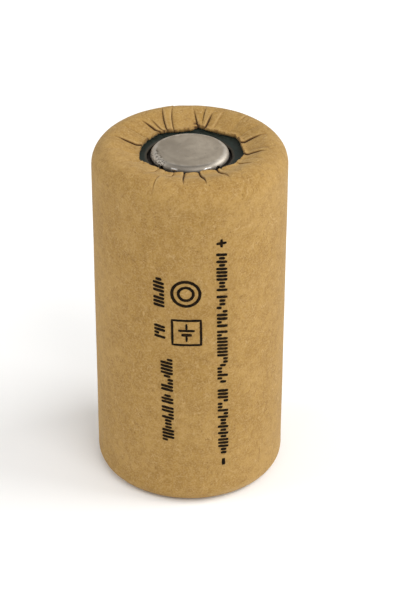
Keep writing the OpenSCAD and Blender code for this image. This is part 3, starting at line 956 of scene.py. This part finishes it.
def cap_outline(low, high):
    """Radius and height of the cap's upper side, from near the axis to the flange, and below it."""
    bend = (CAP_WALL_R - CAP_SHOULDER, high.z - CAP_SHOULDER)
    foot = (CAP_WALL_R + CAP_FOOT, low.z + CAP_SHEET + CAP_FOOT)
    face = np.stack([np.linspace(0.12, bend[0], FACE_ROWS + 1)[:-1],
                     np.full(FACE_ROWS, high.z)], 1)
    above = [face, oval(bend, CAP_SHOULDER, CAP_SHOULDER, 90, 0, SHOULDER_ROWS),
             oval(foot, CAP_FOOT, CAP_FOOT, 180, 270, 7), [(high.x, low.z + CAP_SHEET)]]
    below = [[(high.x, low.z)],
             oval(foot, CAP_FOOT + CAP_SHEET, CAP_FOOT + CAP_SHEET, 270, 180, 9),
             oval(bend, CAP_SHOULDER - CAP_SHEET, CAP_SHOULDER - CAP_SHEET, 0, 90, 9),
             [(0.12, high.z - CAP_SHEET)]]
    return np.concatenate(above), np.concatenate(below)


def cut_holes(obj, radius, count, reach, z):
    """Cuts round holes through a wall, evenly round the axis."""
    points, faces = [], []
    sides = 32
    for i in range(count):
        turn = 2 * math.pi * (i + 0.5) / count
        out = np.array([math.cos(turn), math.sin(turn), 0])
        across = np.array([-math.sin(turn), math.cos(turn), 0])
        first = len(points)
        for distance in (reach - 1.2, reach + 0.5):
            for j in range(sides):
                a = 2 * math.pi * j / sides
                rise = np.array([0, 0, z + radius * math.sin(a)])
                points.append(out * distance + across * radius * math.cos(a) + rise)
        far = first + sides
        faces += [(first + j, first + (j + 1) % sides, far + (j + 1) % sides, far + j)
                  for j in range(sides)]
        faces += [tuple(range(first, far)), tuple(range(far, far + sides))]
    cutter = make_object("cutter", points, faces, smooth_shade=False)
    modifier = obj.modifiers.new("holes", "BOOLEAN")
    modifier.object = cutter
    modifier.operation = "DIFFERENCE"
    with bpy.context.temp_override(object=obj, active_object=obj, selected_objects=[obj]):
        bpy.ops.object.modifier_apply(modifier=modifier.name)
    bpy.data.objects.remove(cutter)


def build_cap():
    """Pressed cap: a face that isn't quite flat, a dented shoulder and gas holes in its wall."""
    low, high = box_mm("positive_cap")
    count = 256
    angles = np.arange(count) * 360 / count
    above, below = cap_outline(low, high)
    rows = []
    for k, (r, z) in enumerate(np.concatenate([above, below])):
        places = turned(np.full(count, r), angles, z)
        if k < FACE_ROWS + SHOULDER_ROWS - 1:
            sunk = 0.016 * (1 + noise_at(places, 2.4, 12)) * smooth((CAP_WALL_R - r) / 0.8)
            left = smooth((-2.2 - places[:, 0]) / 1.0) * smooth((0.6 - places[:, 1]) / 1.0)
            dents = left * smooth((r - 3.4) / 0.3) * np.maximum(noise_at(places, 0.38, 13), 0)
            places[:, 2] -= sunk + 0.10 * dents
        rows.append(places)
    points = np.concatenate(rows + [[(0, 0, above[0][1])], [(0, 0, below[-1][1])]])
    faces = grid_faces(len(rows), count)
    top, bottom = len(points) - 2, len(points) - 1
    last = (len(rows) - 1) * count
    for j in range(count):
        faces.append((top, (j + 1) % count, j))
        faces.append((bottom, last + j, last + (j + 1) % count))
    cap = make_object("cap_pressed", points, faces)
    cut_holes(cap, GAS_HOLE_R, GAS_HOLES, CAP_WALL_R, low.z + CAP_SHEET + 0.34)
    cap.data.materials.append(CAP_NICKEL)
    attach(cap, "cell")
    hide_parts("positive_cap")


build_cap()


# ---------------------------------------------------------------- the valve's spring
def build_spring():
    """Round wire with closed ends."""
    low, high = box_mm("vent_spring")
    wire_r = 0.15
    coil_r = high.x - wire_r
    turns, rings, sides = 1.75, 120, 16
    start, end = low.z + wire_r, high.z - wire_r
    points = []
    for i in range(rings + 1):
        u = i / rings
        turn = 2 * math.pi * turns * u
        rise = u - 0.85 * math.sin(2 * math.pi * u) / (2 * math.pi)
        z = start + (end - start) * rise
        taper = 1 if 0 < i < rings else 0.8
        for j in range(sides):
            side = 2 * math.pi * j / sides
            r = coil_r + wire_r * taper * math.cos(side)
            height = z + wire_r * taper * math.sin(side)
            points.append((r * math.cos(turn), r * math.sin(turn), height))
    faces = grid_faces(rings + 1, sides)
    faces.append(tuple(range(sides)))
    faces.append(tuple(range(rings * sides, (rings + 1) * sides)))
    spring = make_object("spring_wire", points, faces)
    spring.data.materials.append(metal("spring_steel", (0.36, 0.36, 0.37), (0.46, 0.46, 0.46), 0.3))
    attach(spring, "cell")
    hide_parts("vent_spring")
    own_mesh(spring)


build_spring()


# ---------------------------------------------------------------- CAD nodes that stay
for node, material in NODE_MATERIALS.items():
    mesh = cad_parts[node].data
    mesh.materials.clear()
    mesh.materials.append(material)


# ---------------------------------------------------------------- stage, light and camera
def build_stage():
    """A plain pale floor, just below the cell so that the two faces don't share a plane."""
    mesh = bpy.data.meshes.new("floor")
    half, under = 3.0, -0.00002
    corners = [(x, y, under) for x, y in ((-half, -half), (half, -half), (half, half), (-half, half))]
    mesh.from_pydata(corners, [], [(0, 1, 2, 3)])
    floor = bpy.data.objects.new("floor", mesh)
    bpy.context.scene.collection.objects.link(floor)
    white = Shader("floor_white", roughness=0.9, Specular_IOR_Level=0.1)
    tone = white.mix(white.noise(0.004, 2.0), (0.945, 0.945, 0.94), (0.965, 0.965, 0.96))
    mesh.materials.append(white.finish(tone))


def build_world(strength):
    world = bpy.data.worlds.new("studio")
    world.use_nodes = True
    sky = world.node_tree.nodes["Background"]
    sky.inputs["Color"].default_value = (1.0, 0.995, 0.985, 1)
    sky.inputs["Strength"].default_value = strength
    bpy.context.scene.world = world


def add_light(name, azimuth, elevation, distance, size, power):
    """A square soft light that looks at the cell. Azimuth 0 is the camera's side, 90 the right."""
    light = bpy.data.lights.new(name, "AREA")
    light.shape = "SQUARE"
    light.size = size
    light.energy = power
    obj = bpy.data.objects.new(name, light)
    a, e = math.radians(azimuth), math.radians(elevation)
    aim = Vector((0, 0, CELL_H * MM / 2))
    away = Vector((math.sin(a) * math.cos(e), -math.cos(a) * math.cos(e), math.sin(e)))
    obj.location = aim + away * distance
    obj.rotation_mode = "QUATERNION"
    obj.rotation_quaternion = away.to_track_quat("Z", "Y")
    bpy.context.scene.collection.objects.link(obj)


def build_camera():
    """Looks along +Y, 32 degrees down, from close by with a long lens."""
    elevation = math.radians(32)
    distance = 0.2467
    aim = Vector((0, 0, 0.02182))
    away = Vector((0, -math.cos(elevation), math.sin(elevation)))
    data = bpy.data.cameras.new("camera")
    data.lens = 123.7
    data.sensor_width = 36
    data.shift_x = 0.0177
    data.clip_start, data.clip_end = 0.01, 20
    camera = bpy.data.objects.new("camera", data)
    camera.location = aim + away * distance
    camera.rotation_mode = "QUATERNION"
    camera.rotation_quaternion = away.to_track_quat("Z", "Y")
    bpy.context.scene.collection.objects.link(camera)
    bpy.context.scene.camera = camera


build_stage()
build_world(0.52)
add_light("right", 90, 40, 0.9, 0.5, 4.6)
add_light("front", 30, 45, 0.9, 0.5, 3.15)
add_light("left", -85, 35, 0.9, 0.5, 2.2)
add_light("left_glint", -25, 14, 0.9, 0.08, 0.3)
add_light("right_glint", 60, 14, 0.9, 0.08, 0.3)
build_camera()
bpy.context.scene.view_settings.view_transform = "Standard"
